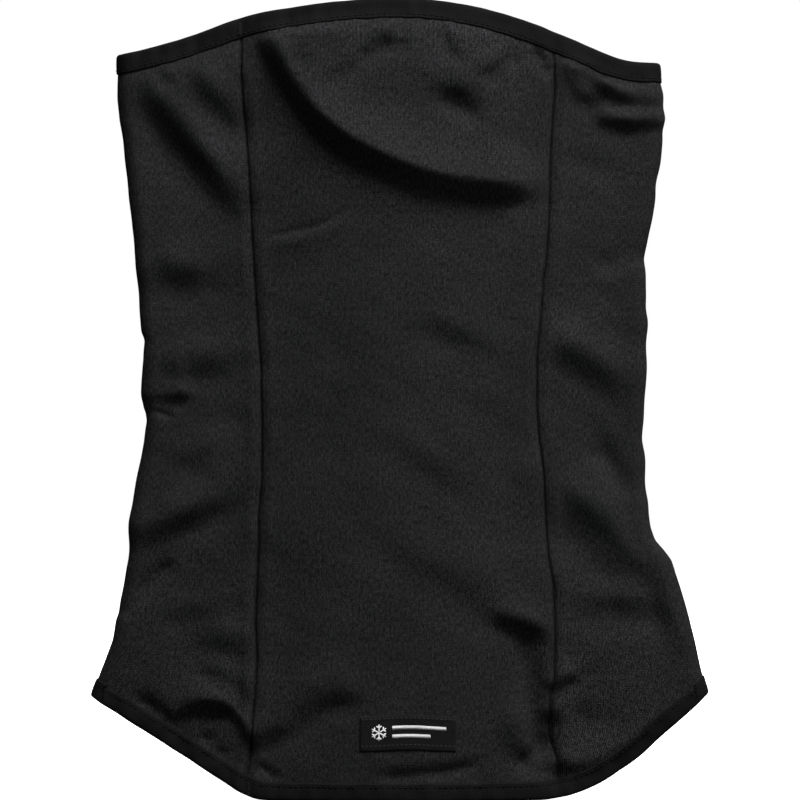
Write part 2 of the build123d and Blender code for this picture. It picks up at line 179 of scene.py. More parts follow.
# -------------------------------------------------------------------- relief
# Folds with one steep wall:
# (points (x, z), rise, wall width, fall-off length, share of the run that tapers).
FRONT_STEPS = [
    # the long fold from the right seam across under the chin
    ([(-71.205, 371.77), (-62.745, 354.85), (-52.405, 336.05), (-40.655, 319.6),
      (-23.735, 305.03), (-4.465, 295.63), (14.805, 288.58), (35.015, 285.29),
      (54.285, 283.88), (73.555, 286.23)], 10.6, 6.815, 38.54, 0.16),
    ([(-56.165, 341.69), (-46.765, 327.59), (-30.785, 312.55), (-11.985, 301.27),
      (9.635, 291.87), (29.375, 287.17)], 2.5, 4.23, 12.22, 0.3),
    # left side, upper
    ([(88.595, 320.07), (99.875, 318.19), (111.155, 317.25), (129.955, 320.07)],
     5.4, 5.17, 12.22, 0.2),
    ([(75.435, 349.21), (79.195, 336.99), (84.835, 329.47), (95.175, 324.77)],
     3.6, 4.7, 9.4, 0.3),
    ([(88.595, 339.81), (96.115, 332.29), (105.515, 327.12), (126.195, 325.71)],
     3.2, 4.23, 9.4, 0.25),
    # right side, upper
    ([(-135.125, 335.11), (-119.145, 326.65), (-105.045, 315.37), (-90.005, 295.63),
      (-74.965, 269.31)], 5.4, 9.4, 24.44, 0.25),
    ([(-99.405, 347.33), (-90.945, 335.11), (-83.425, 324.77), (-71.675, 311.61)],
     3.4, 7.05, 15.98, 0.3),
    # right side, middle
    ([(-121.965, 248.63), (-106.925, 244.87), (-89.065, 238.29)], 3.2, 10.34, 13.16, 0.35),
    ([(-127.605, 189.41), (-112.565, 187.06), (-93.765, 190.82)], 3.6, 3.76, 12.22, 0.25),
    ([(-119.615, 195.05), (-102.225, 200.69), (-80.605, 211.03)], 2.0, 5.17, 10.34, 0.35),
    ([(-127.605, 117.97), (-106.925, 128.31), (-73.085, 144.29)], 3.8, 8.93, 14.1, 0.25),
    ([(-112.565, 149.93), (-93.765, 157.45), (-70.265, 165.91)], 1.3, 7.05, 13.16, 0.35),
    # overlap at the lower right: the cloth above sinks under a sharp edge
    ([(-141.705, 62.51), (-132.305, 77.55), (-121.965, 92.59), (-112.565, 104.81),
      (-99.405, 116.09)], -3.0, 1.222, 7.99, 0.3),
    ([(-113.505, 31.49), (-103.165, 40.89), (-90.945, 45.12), (-80.605, 43.71),
      (-73.085, 36.19), (-67.915, 21.15)], 4.8, 3.76, 12.22, 0.2),
    ([(-98.465, 61.57), (-86.245, 57.81), (-75.905, 52.17), (-67.915, 43.71)],
     2.2, 4.7, 10.34, 0.3),
    ([(-60.865, 28.67), (-49.585, 39.01), (-35.485, 45.59), (-13.865, 48.41)],
     1.7, 7.99, 13.16, 0.3),
    # left side, middle and lower
    ([(66.035, 217.61), (78.255, 206.33), (94.235, 195.52), (107.395, 187.06),
      (120.555, 179.07)], 5.6, 8.46, 16.92, 0.22),
    ([(69.795, 151.81), (84.835, 138.65), (99.875, 127.37), (113.505, 115.15),
      (122.905, 99.17), (127.605, 84.13), (130.895, 67.21)], 5.8, 8.46, 16.92, 0.2),
    ([(86.715, 167.79), (98.935, 153.69), (114.915, 133.01)], -1.8, 6.58, 13.16, 0.3),
    ([(109.275, 133.95), (116.795, 127.37), (129.015, 116.09)], 3.6, 2.35, 8.46, 0.25),
    ([(96.115, 87.89), (107.395, 86.95), (122.435, 87.89)], 1.6, 5.64, 10.34, 0.35),
    # lower front, by the left seam
    ([(40.655, 85.07), (52.875, 80.37), (69.795, 75.67)], 1.9, 6.58, 11.28, 0.3),
    ([(50.995, 81.31), (57.575, 69.09), (60.395, 53.11), (61.335, 36.19),
      (65.095, 22.09), (71.675, 9.87)], -1.6, 5.64, 12.22, 0.2),
    ([(71.675, 46.53), (79.195, 52.17), (87.655, 58.75)], 1.6, 4.7, 9.4, 0.3),
    ([(73.555, 23.97), (83.895, 15.51), (96.115, 16.45), (113.975, 27.73),
      (133.715, 44.65)], 2.6, 5.64, 15.98, 0.2),
    # upper front
    ([(14.335, 340.75), (23.735, 330.41), (42.535, 315.37)], 2.0, 6.11, 10.34, 0.35),
]

# Creases: (points (x, z), depth, width, share that tapers), and where the crease has
# them, lip height, lip offset, lip width, then width on the soft side.
# A positive lip offset is to the left of the drawn direction.
FRONT_CREASES = [
    ([(-22.325, 277.3), (-34.075, 270.25), (-49.115, 266.02), (-66.505, 263.2)],
     1.0, 1.88, 0.3, 0.8, 4.23, 4.23),
    # gathers under the upper binding
    ([(-19.975, 344.51), (-12.925, 349.68), (-3.055, 354.85)], 1.2, 4.23, 0.3),
    ([(0.235, 364.25), (0.705, 356.73)], 1.0, 3.29, 0.3),
    ([(17.155, 363.31), (20.915, 353.91), (25.615, 342.63)], 1.5, 3.76, 0.3, 0.8, 6.58, 4.23),
    ([(19.035, 331.35), (28.435, 325.71), (40.655, 317.25)], 1.9, 5.64, 0.35),
    ([(35.955, 334.17), (46.295, 341.69), (56.635, 350.15)], 1.8, 4.23, 0.3, 0.9, 6.58, 4.7),
    ([(63.215, 352.97), (66.505, 345.45), (70.265, 336.05)], 1.5, 2.82, 0.3),
    ([(-46.765, 360.49), (-48.645, 351.09), (-43.945, 340.75)], 1.1, 4.23, 0.3),
    ([(47.235, 314.43), (56.635, 305.03), (68.855, 300.33)], 0.9, 6.11, 0.3),
    # upper panel on the left
    ([(75.435, 305.03), (89.535, 295.63), (108.335, 289.99)], 0.9, 6.58, 0.3),
    # upper and middle panel on the right
    ([(-117.265, 347.33), (-113.505, 339.81), (-105.045, 332.29)], 1.1, 3.76, 0.3),
    ([(-117.265, 250.51), (-106.925, 247.22), (-92.825, 240.17)], 1.3, 6.58, 0.3),
    ([(-117.265, 196.46), (-103.165, 203.51), (-83.425, 211.03)],
     1.4, 4.7, 0.3, 0.7, 6.58, 5.17),
    ([(-121.965, 183.3), (-113.505, 182.36), (-104.105, 178.13)],
     1.8, 1.692, 0.3, 0.5, -3.76, 2.82),
    ([(-110.215, 150.87), (-93.765, 158.39), (-73.085, 164.97)],
     1.1, 6.11, 0.3, 0.6, 9.4, 6.58),
    # the overlap low at the right side, and the cloth beside it
    ([(-127.605, 93.53), (-116.325, 101.99), (-105.045, 113.27)], 1.5, 4.7, 0.3),
    ([(-98.465, 59.69), (-87.185, 58.75), (-76.845, 54.05), (-68.385, 44.65)],
     1.5, 4.23, 0.3, 0.8, 7.05, 4.7),
    ([(-92.355, 31.49), (-88.125, 25.85)], 1.8, 3.29, 0.3),
    ([(-86.245, 24.91), (-81.545, 19.27)], 1.6, 3.29, 0.3),
    ([(-125.725, 49.35), (-116.325, 43.71), (-103.165, 34.31)],
     1.8, 3.76, 0.3, 1.0, -6.58, 4.7),
    ([(-56.165, 33.37), (-46.765, 42.77), (-34.545, 46.53), (-16.685, 47.47)],
     1.7, 6.58, 0.3, 0.8, 10.34, 7.05),
    ([(-67.445, 18.33), (-61.805, 12.69), (-55.225, 8.93)], 1.6, 2.82, 0.3),
    ([(-15.745, 10.34), (4.935, 12.22), (23.735, 14.1), (42.535, 19.27)],
     1.4, 3.29, 0.25, 0.5, 5.64, 4.23),
    # low at the front near the left seam
    ([(39.715, 83.19), (52.875, 79.9), (68.855, 76.14)], 1.3, 5.17, 0.3, 0.6, 7.52, 5.64),
    ([(55.695, 80.37), (60.395, 69.09), (61.805, 53.11), (62.745, 36.19), (67.915, 22.09),
      (72.145, 13.63)], 2.4, 6.11, 0.22, 1.1, 11.28, 7.05),
    ([(71.675, 43.71), (69.795, 30.55), (66.035, 14.57)], 3.2, 5.64, 0.3),
    ([(53.815, 12.69), (63.215, 22.09), (70.265, 31.49)], 2.2, 4.7, 0.3),
    ([(71.675, 47.47), (78.255, 53.11), (84.835, 57.81)], 1.7, 4.23, 0.3, 0.8, 6.58, 4.7),
    ([(80.135, 37.13), (90.475, 35.25), (103.635, 40.89)], 1.0, 6.58, 0.3),
    # left side
    ([(87.655, 168.73), (98.935, 155.57), (112.095, 138.65)],
     1.3, 6.11, 0.3, 0.7, 10.34, 7.05),
    ([(94.235, 91.65), (104.575, 91.18), (118.675, 89.77)], 1.2, 5.64, 0.3),
    ([(113.035, 258.97), (103.635, 252.39), (89.535, 249.57)],
     1.3, 5.17, 0.3, 0.6, 7.05, 5.17),
    # faint slack in the middle
    ([(6.815, 224.19), (21.385, 215.73), (36.895, 205.39)], 0.55, 7.05, 0.35, 0.3, 10.34, 7.52),
    ([(23.735, 186.59), (42.535, 175.78), (64.155, 163.09)], 0.6, 8.46, 0.35, 0.35, 12.22, 8.46),
    ([(0.235, 140.53), (21.855, 114.21), (44.415, 86.95)], 0.6, 9.4, 0.35, 0.35, 13.16, 9.4),
    ([(-46.765, 234.53), (-32.665, 220.43), (-23.265, 196.93)], 0.4, 9.4, 0.35),
]
BACK_CREASES = [
    ([(66.035, 319.13), (37.835, 305.03), (4.935, 300.33), (-23.265, 305.03)],
     1.6, 7.05, 0.25, 0.9, 11.28, 7.52, 8.46),
    ([(-56.165, 276.83), (-32.665, 262.73), (0.235, 258.03), (33.135, 264.61)],
     1.3, 7.52, 0.25, 0.7, 12.22, 8.46),
    ([(-121.965, 290.93), (-103.165, 281.53), (-76.845, 278.71)],
     1.8, 5.17, 0.3, 0.9, 8.46, 6.11),
    ([(120.085, 295.63), (103.635, 283.41), (80.135, 276.83)], 1.8, 5.17, 0.3, 0.9, 8.46, 6.11),
    ([(-117.265, 220.43), (-98.465, 211.03), (-74.965, 208.21)],
     1.9, 4.7, 0.3, 1.0, 7.52, 5.64),
    ([(114.915, 234.53), (94.235, 224.19), (73.555, 222.31)], 1.9, 4.7, 0.3, 1.0, 7.52, 5.64),
    ([(-46.765, 178.13), (-18.565, 165.91), (19.035, 168.73)], 0.9, 8.46, 0.3, 0.5, 13.16, 8.46),
    ([(115.385, 173.43), (94.235, 163.09), (75.435, 164.03)], 1.4, 5.64, 0.3, 0.7, 8.46, 6.11),
    ([(-121.965, 140.53), (-103.165, 131.13), (-76.845, 133.01)],
     2.0, 5.17, 0.3, 1.0, 8.46, 6.11),
    ([(120.085, 112.33), (101.755, 98.23), (84.835, 74.73)], 1.9, 5.64, 0.3, 1.0, 9.4, 6.58),
    ([(-131.365, 74.73), (-112.565, 70.03), (-93.765, 51.23), (-76.845, 27.73)],
     2.0, 5.64, 0.25, 1.0, 9.4, 6.58),
    ([(-32.665, 74.73), (0.235, 60.63), (37.835, 65.33)], 1.1, 8.46, 0.3, 0.5, 12.22, 8.46),
    ([(-46.765, 18.33), (-23.265, 23.97), (9.635, 20.21)], 1.2, 4.7, 0.3),
    ([(75.435, 37.13), (94.235, 39.01), (117.735, 51.23)], 1.6, 5.17, 0.3, 0.8, 7.52, 5.64),
    ([(75.435, 342.63), (78.255, 328.53), (89.535, 314.43)], 1.5, 4.23, 0.3, 0.7, 6.58, 4.7),
    ([(-79.665, 337.93), (-83.425, 323.83), (-93.765, 309.73)], 1.5, 4.23, 0.3, 0.7, 6.58, 4.7),
]
CREASE_GAIN = 1.05

# Soft folds of the front, short shoulders and narrow hollows:
# (x, z, half length, half width, turn in degrees, slope).
SOFT_FOLDS = [
    (-113.505, 332.29, 10.34, 15.04, 0, 0.44), (-100.345, 306.91, 15.98, 7.52, 52, 0.34),
    (-87.185, 327.59, 7.52, 11.28, -20, 0.34), (-73.085, 326.65, 4.23, 12.22, -10, 0.24),
    (-86.245, 289.99, 5.64, 10.34, -25, 0.20), (-108.805, 244.4, 15.04, 7.05, 0, 0.24),
    (-97.525, 200.69, 15.98, 6.11, -14, 0.28), (-112.565, 189.41, 12.22, 3.76, 0, 0.20),
    (-86.715, 151.81, 6.11, 9.4, 0, 0.20), (-105.045, 130.19, 21.62, 6.11, -24, 0.32),
    (-122.905, 109.51, 5.64, 15.98, 20, 0.22), (-97.525, 87.89, 14.1, 4.7, -10, 0.16),
    (-83.425, 72.85, 7.52, 7.05, 20, 0.28), (-72.145, 59.69, 4.23, 8.46, -10, 0.30),
    (-88.125, 45.59, 10.34, 4.23, 0, 0.36), (-72.145, 44.65, 3.76, 6.58, 0, 0.24),
    (-50.525, 35.25, 11.28, 5.17, -28, 0.26), (-31.725, 45.59, 11.28, 4.23, -12, 0.18),
    (96.115, 336.05, 9.4, 10.34, -10, 0.40), (114.915, 328.53, 11.28, 4.23, 5, 0.40),
    (113.975, 315.84, 11.28, 4.23, 0, 0.34), (82.955, 342.63, 4.23, 6.58, -20, 0.28),
    (26.085, 330.41, 7.99, 6.11, 30, 0.20), (-2.585, 355.79, 6.58, 4.23, 10, 0.24),
    (-22.325, 344.51, 15.98, 3.76, -34, 0.20), (19.035, 348.27, 4.23, 9.4, -26, 0.20),
    (52.875, 353.91, 9.4, 4.23, 10, 0.16), (42.535, 337.93, 6.58, 6.58, -30, 0.18),
    (92.355, 204.45, 15.98, 6.11, 30, 0.28), (113.035, 193.17, 7.52, 7.52, 40, 0.22),
    (97.055, 168.73, 4.7, 12.22, -30, 0.14), (94.235, 117.97, 20.68, 7.52, 42, 0.26),
    (104.575, 90.71, 13.16, 6.11, 5, 0.30), (124.315, 87.89, 4.7, 15.98, -14, 0.36),
    (24.675, 101.99, 31.02, 8.93, 34, 0.17), (54.285, 148.99, 6.58, 17.86, -10, 0.18),
    (25.615, 216.67, 15.98, 6.11, 18, 0.09), (10.575, 158.39, 15.98, 5.64, 34, 0.14),
    (57.575, 81.31, 11.28, 4.23, 20, 0.28), (60.395, 51.23, 3.29, 18.8, -7, 0.30),
    (53.815, 30.55, 5.17, 7.52, 0, 0.20), (69.795, 17.39, 11.28, 5.17, 22, 0.52),
    (4.935, 332.29, 56.4, 21.62, 12, 0.13), (80.135, 57.81, 8.46, 3.29, -28, 0.24),
    (113.035, 26.79, 16.92, 3.76, -36, 0.20), (82.485, 46.53, 4.7, 5.64, 0, 0.14),
]


def smoothstep(t):
    t = np.clip(t, 0, 1)
    return t * t * (3 - 2 * t)


def taper(run, ease):
    return smoothstep(np.minimum(run, 1 - run) / ease)


def waves(x, z, seed, count, shortest, longest):
    """Sum of soft waves in random directions, about -1..1; lengths in metres."""
    rng = np.random.default_rng(seed)
    out = np.zeros(np.broadcast(x, z).shape)
    for _ in range(count):
        heading, phase = rng.uniform(0, 2 * np.pi), rng.uniform(0, 2 * np.pi)
        k = 2 * np.pi / rng.uniform(shortest, longest)
        out += np.sin((x * np.cos(heading) + z * np.sin(heading)) * k + phase)
    return out / np.sqrt(count)


def trace(x, z, points, margin, spacing, fewest, passes):
    """Measures cloth points against a smoothed run of points.

    Gives the mask of points within the margin, and for those the distance in mm,
    the side (1 is left of the drawn direction) and the place along the run, 0..1."""
    px, pz = np.array(points, float).T
    s = np.concatenate([[0], np.cumsum(np.hypot(np.diff(px), np.diff(pz)))])
    count = max(int(s[-1] / spacing), fewest)
    even = np.linspace(0, s[-1], count)
    qx, qz = np.interp(even, s, px), np.interp(even, s, pz)
    for _ in range(passes):
        for q in (qx, qz):
            q[1:-1] = (q[:-2] + 2 * q[1:-1] + q[2:]) / 4
    x, z = x.ravel() / MM, z.ravel() / MM
    near = (x > qx.min() - margin) & (x < qx.max() + margin)
    near &= (z > qz.min() - margin) & (z < qz.max() + margin)
    x, z = x[near], z[near]
    best, side, run = np.full(x.shape, 1e9), np.zeros(x.shape), np.zeros(x.shape)
    for k in range(count - 1):
        dx, dz = qx[k + 1] - qx[k], qz[k + 1] - qz[k]
        t = np.clip(((x - qx[k]) * dx + (z - qz[k]) * dz) / (dx * dx + dz * dz), 0, 1)
        ex, ez = x - qx[k] - t * dx, z - qz[k] - t * dz
        distance = np.hypot(ex, ez)
        closer = distance < best
        best[closer] = distance[closer]
        side[closer] = np.sign(dx * ez - dz * ex)[closer]
        run[closer] = ((k + t) / (count - 1))[closer]
    return near, best, side, run


def crease(x, z, points, depth, width, ease, lip=0, lip_offset=0, lip_width=0, soft=0):
    """A groove, with a raised lip beside it and a slow slope on its right."""
    margin = abs(lip_offset) + 3 * max(width, lip_width, soft)
    near, distance, side, run = trace(x, z, points, margin, spacing=3, fewest=6, passes=3)
    widths = np.where((side < 0) & (soft > 0), max(soft, width), width)
    height = -depth * np.exp(-(distance / widths) ** 2)
    if lip:
        height += lip * np.exp(-((distance * side - lip_offset) / lip_width) ** 2)
    out = np.zeros(x.size)
    out[near] = height * taper(run, ease) * MM
    return out.reshape(x.shape)


def step(x, z, points, rise, wall, fall, ease):
    """A fold with one steep wall along its points.  Positive rise: the cloth to the
    left of the drawn direction stands proud and dies away from the wall.  Negative:
    it sinks slowly towards the line and comes back up in one step."""
    near, distance, side, run = trace(
        x, z, points, 3.2 * fall + 2 * wall, spacing=2.5, fewest=8, passes=4)
    signed = distance * side
    climb = smoothstep(signed / wall * 0.5 + 0.5)
    fade = np.exp(-(np.maximum(signed, 0) / fall) ** 1.25)
    out = np.zeros(x.size)
    out[near] = rise * MM * climb * fade * taper(run, ease)
    return out.reshape(x.shape)


def soft_folds(x, z):
    out = np.zeros(x.shape)
    for centre_x, centre_z, length, width, turn, slope in SOFT_FOLDS:
        c, s = math.cos(math.radians(turn)), math.sin(math.radians(turn))
        dx, down = x / MM - centre_x, centre_z - z / MM
        p, q = (dx * c + down * s) / length, (-dx * s + down * c) / width
        bell = np.exp(-0.5 * (p * p + q * q)) * MM
        if width > 1.6 * length:    # a narrow hollow
            out += slope * (-2.6 + 0.9 * length * p) * bell
        else:                       # a shoulder that tips the cloth downwards
            out -= min(1.5 * slope * width, 4.2) * q * bell
    return out


def relief(x, z, face):
    """How far the cloth of the front or back stands off its smooth shape."""
    front = face == FRONT
    top = edge_height(face, x, True) - z
    low = z - edge_height(face, x, False)
    out = np.zeros(x.shape)
    for entry in FRONT_CREASES if front else BACK_CREASES:
        out += CREASE_GAIN * crease(x, z, *entry)
    if front:
        for entry in FRONT_STEPS:
            out += step(x, z, *entry)
        out += soft_folds(x, z)
        # the side folds and the taped edges move less
        inside = np.minimum(x - fold_centre(-1, z), fold_centre(1, z) - x)
        out *= 0.5 + 0.5 * smoothstep(inside / (13 * MM))
        out *= np.clip(np.minimum(top, low) / (14 * MM), 0.35, 1)
    out += 0.34 * MM * waves(x, z, 11 if front else 12, 9, 0.035, 0.09)
    out += 0.10 * MM * waves(x, z, 21 if front else 22, 12, 0.011, 0.026)
    # shallow gathers where the elastic draws the cloth in
    for gap, seed in ((top, 31), (low, 32)):
        near = np.exp(-(np.maximum(gap, 0) / (13 * MM)) ** 2)
        gathers = waves(x, z * 0.15, seed + (0 if front else 5), 6, 0.008, 0.022)
        out += 0.42 * MM * near * gathers
    # the seams pull the cloth in and leave a pair of soft lips
    pull = 1 + 0.35 * waves(z, z * 0, 41, 5, 0.012, 0.03)
    for side in (-1, 1):
        off = np.abs(x - seam(side, z))
        groove = -0.55 * np.exp(-(off / (2.6 * MM)) ** 2)
        lips = 0.30 * np.exp(-((off - 4.6 * MM) / (2.4 * MM)) ** 2)
        out += (groove + lips) * MM * pull
    return out


# ------------------------------------------------------------------- surface
# Half depth of the relaxed tube by height.
DEPTH_HEIGHTS = np.array([-8, 35, 80, 125, 190, 260, 320, 384]) * MM
FRONT_DEPTHS = np.array([19.6, 19.6, 19.4, 18.7, 18.0, 18.4, 18.4, 16.5]) * MM
BACK_DEPTHS = np.array([19.4, 19.6, 19.8, 19.8, 19.8, 19.8, 19.6, 18.4]) * MM


def dome(s):
    return np.cos(0.5 * np.pi * np.minimum(np.abs(s), 1)) ** 2


def flat_top(s):
    return 1 - smoothstep((np.abs(s) - 0.30) / 0.70)


def flank(face, x, z):
    """Smooth front or back: y and the normal's (x, y)."""
    right, left = fold_centre(-1, z), fold_centre(1, z)
    middle, half = (right + left) / 2, (left - right) / 2
    front = face == FRONT
    depth = np.interp(z, DEPTH_HEIGHTS, FRONT_DEPTHS if front else BACK_DEPTHS)
    section = dome if front else flat_top
    nudge = 0.2 * MM

    def bulge(at_x):
        return FOLD_RADIUS + (depth - FOLD_RADIUS) * section((at_x - middle) / half)

    slope = (bulge(x + nudge) - bulge(x - nudge)) / (2 * nudge)
    norm = np.sqrt(1 + slope * slope)
    sign = -1.0 if front else 1.0
    return sign * bulge(x), -slope / norm, sign / norm


def surface(face, across, z, off=0.0):
    """Points on the tube, raised by off.  Across is x on the front and back, and on a
    side fold the angle from -90 (front) to 90 degrees (back), in radians."""
    face, across, z = np.broadcast_arrays(face, np.asarray(across, float), z)
    off = np.broadcast_to(off, across.shape)
    out = np.zeros(across.shape + (3,))
    for which in (FRONT, BACK):
        m = face == which
        if m.any():
            x, zz = across[m], z[m]
            y, normal_x, normal_y = flank(which, x, zz)
            h = off[m] + relief(x, zz, which)
            out[m] = np.stack([x + normal_x * h, y + normal_y * h, zz], -1)
    for which, side in ((LEFT_FOLD, 1), (RIGHT_FOLD, -1)):
        m = face == which
        if m.any():
            angle, zz = across[m], z[m]
            centre = fold_centre(side, zz)
            to_back = smoothstep(angle / np.pi + 0.5)
            h = FOLD_RADIUS + off[m] + (
                relief(centre, zz, FRONT) * (1 - to_back) + relief(centre, zz, BACK) * to_back)
            out[m] = np.stack([centre + side * h * np.cos(angle), h * np.sin(angle), zz], -1)
    return out


# ---------------------------------------------------------------- mesh tools
def lengths(points):
    """Running length along a line of points."""
    steps = np.linalg.norm(np.diff(points, axis=0), axis=1)
    return np.concatenate([[0], np.cumsum(steps)])


def new_object(name, mesh):
    ob = bpy.data.objects.new(name, mesh)
    bpy.context.scene.collection.objects.link(ob)
    return ob


def cloth_object(name, verts, faces, uvs):
    """Smooth-shaded object with one UV per vertex, in mm."""
    mesh = bpy.data.meshes.new(name)
    mesh.from_pydata(verts.tolist(), [], faces)
    mesh.update()
    layer = mesh.uv_layers.new(name="cloth")
    index = np.empty(len(mesh.loops), np.int32)
    mesh.loops.foreach_get("vertex_index", index)
    layer.data.foreach_set("uv", np.asarray(uvs, np.float32)[index].ravel())
    mesh.polygons.foreach_set("use_smooth", np.full(len(mesh.polygons), True))
    return new_object(name, mesh)


def face_outwards(ob):
    bm = bmesh.new()
    bm.from_mesh(ob.data)
    bmesh.ops.recalc_face_normals(bm, faces=bm.faces)
    bm.to_mesh(ob.data)
    bm.free()


def grid_faces(rows, cols):
    r = np.arange(rows - 1)[:, None]
    c = np.arange(cols - 1)[None, :]
    a, d = r * cols + c, (r + 1) * cols + c
    return np.stack([a, a + 1, d + 1, d], -1).reshape(-1, 4)


def shell(name, outer, inner, uv):
    """Closes an outer and an inner grid of the same size into one solid piece."""
    rows, cols = outer.shape[:2]
    n = rows * cols
    quads = grid_faces(rows, cols)
    rim = np.array(
        [r * cols for r in range(rows)]
        + [(rows - 1) * cols + c for c in range(1, cols)]
        + [r * cols + cols - 1 for r in range(rows - 2, -1, -1)]
        + list(range(cols - 2, 0, -1)))
    after = np.roll(rim, -1)
    wall = np.stack([rim, after, after + n, rim + n], -1)
    faces = np.concatenate([quads, quads[:, [0, 3, 2, 1]] + n, wall])
    verts = np.concatenate([outer.reshape(-1, 3), inner.reshape(-1, 3)])
    uv = uv.reshape(-1, 2)
    ob = cloth_object(name, verts, faces.tolist(), np.concatenate([uv, uv]))
    face_outwards(ob)
    return ob


def tubes(name, runs, radius, mat, slot, piece=None, sides=6, flatten=1.0):
    """Cords with narrowed ends along a list of point runs, as one piece."""
    verts, faces, uvs = [], [], []
    base = 0
    ring = np.arange(sides)
    angle = 2 * math.pi * ring / sides
    cos, sin = np.cos(angle)[None, :, None], np.sin(angle)[None, :, None]
    for run in runs:
        p = np.asarray(run, float)
        n = len(p)
        along = np.gradient(p, axis=0)
        along /= np.linalg.norm(along, axis=1)[:, None] + 1e-12
        b = np.cross(along, np.tile([0.0, 1.0, 0.0], (n, 1)))
        b /= np.linalg.norm(b, axis=1)[:, None] + 1e-12
        c = np.cross(b, along)
        radii = np.full(n, radius)
        radii[[0, -1]] *= 0.45
        spokes = cos * b[:, None] + sin * flatten * c[:, None]
        verts.append((p[:, None] + radii[:, None, None] * spokes).reshape(-1, 3))
        uv = np.broadcast_arrays((lengths(p) / MM)[:, None], ring / sides)
        uvs.append(np.stack(uv, -1).reshape(-1, 2))
        for j in range(n - 1):
            low, high = base + j * sides, base + (j + 1) * sides
            for q in range(sides):
                q1 = (q + 1) % sides
                faces.append([low + q, low + q1, high + q1, high + q])
        faces.append([base + q for q in range(sides)][::-1])
        faces.append([base + (n - 1) * sides + q for q in range(sides)])
        base += n * sides
    ob = cloth_object(name, np.concatenate(verts), faces, np.concatenate(uvs))
    finish_piece(ob, slot, piece, mat)


def finish_piece(ob, slot, piece, *materials):
    for mat in materials:
        ob.data.materials.append(mat)
    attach(ob, "root")
    if piece:
        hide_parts(piece)


# ------------------------------------------------------------------ materials
class Graph:
    """The shader nodes of a material or world, cleared and ready to build."""

    def __init__(self, owner):
        owner.use_nodes = True
        self.tree = owner.node_tree
        self.tree.nodes.clear()

    def node(self, kind, **settings):
        made = self.tree.nodes.new(kind)
        for key, value in settings.items():
            setattr(made, key, value)
        return made

    def feed(self, socket, value):
        """Links a socket, or sets a plain value."""
        if isinstance(value, bpy.types.NodeSocket):
            self.tree.links.new(value, socket)
        else:
            socket.default_value = value

    def calc(self, operation, *values):
        made = self.node("ShaderNodeMath", operation=operation)
        for i, value in enumerate(values):
            self.feed(made.inputs[i], value)
        return made.outputs[0]

    def product(self, *values):
        return reduce(lambda a, b: self.calc("MULTIPLY", a, b), values)

    def sine(self, turns):
        return self.calc("SINE", self.product(turns, 2 * math.pi))

    def noise(self, vector, scale, detail=2.0, roughness=0.5):
        made = self.node("ShaderNodeTexNoise")
        made.inputs["Scale"].default_value = scale
        made.inputs["Detail"].default_value = detail
        made.inputs["Roughness"].default_value = roughness
        self.feed(made.inputs["Vector"], vector)
        return made.outputs["Fac"]

    def ramp(self, value, to, across=(0.3, 0.7)):
        """Maps the range across onto the range to."""
        made = self.node("ShaderNodeMapRange")
        made.inputs["From Min"].default_value, made.inputs["From Max"].default_value = across
        made.inputs["To Min"].default_value, made.inputs["To Max"].default_value = to
        self.feed(made.inputs["Value"], value)
        return made.outputs[0]

    def grey(self, value, tint=(1.0, 1.0, 1.0)):
        made = self.node("ShaderNodeCombineColor")
        for i in range(3):
            self.feed(made.inputs[i], self.product(value, tint[i]))
        return made.outputs[0]

    def uv(self):
        return self.node("ShaderNodeUVMap", uv_map="cloth").outputs[0]

    def split(self, vector):
        made = self.node("ShaderNodeSeparateXYZ")
        self.feed(made.inputs[0], vector)
        return made.outputs


def new_material(name):
    mat = bpy.data.materials.new(name)
    graph = Graph(mat)
    output = graph.node("ShaderNodeOutputMaterial")
    shader = graph.node("ShaderNodeBsdfPrincipled")
    graph.feed(output.inputs[0], shader.outputs[0])
    return mat, graph, shader


def textile(graph, shader, colour, height, bump_mm, bump_strength=0.6, *,
            roughness, specular, sheen, sheen_roughness=None, sheen_tint=None):
    """Sets the look shared by all cloth and thread."""
    graph.feed(shader.inputs["Base Color"], colour)
    shader.inputs["Roughness"].default_value = roughness
    shader.inputs["Specular IOR Level"].default_value = specular
    shader.inputs["Sheen Weight"].default_value = sheen
    if sheen_tint:
        shader.inputs["Sheen Roughness"].default_value = sheen_roughness
        shader.inputs["Sheen Tint"].default_value = (*sheen_tint, 1)
    bump = graph.node("ShaderNodeBump")
    bump.inputs["Strength"].default_value = bump_strength
    bump.inputs["Distance"].default_value = bump_mm * MM
    graph.feed(bump.inputs["Height"], height)
    graph.feed(shader.inputs["Normal"], bump.outputs[0])


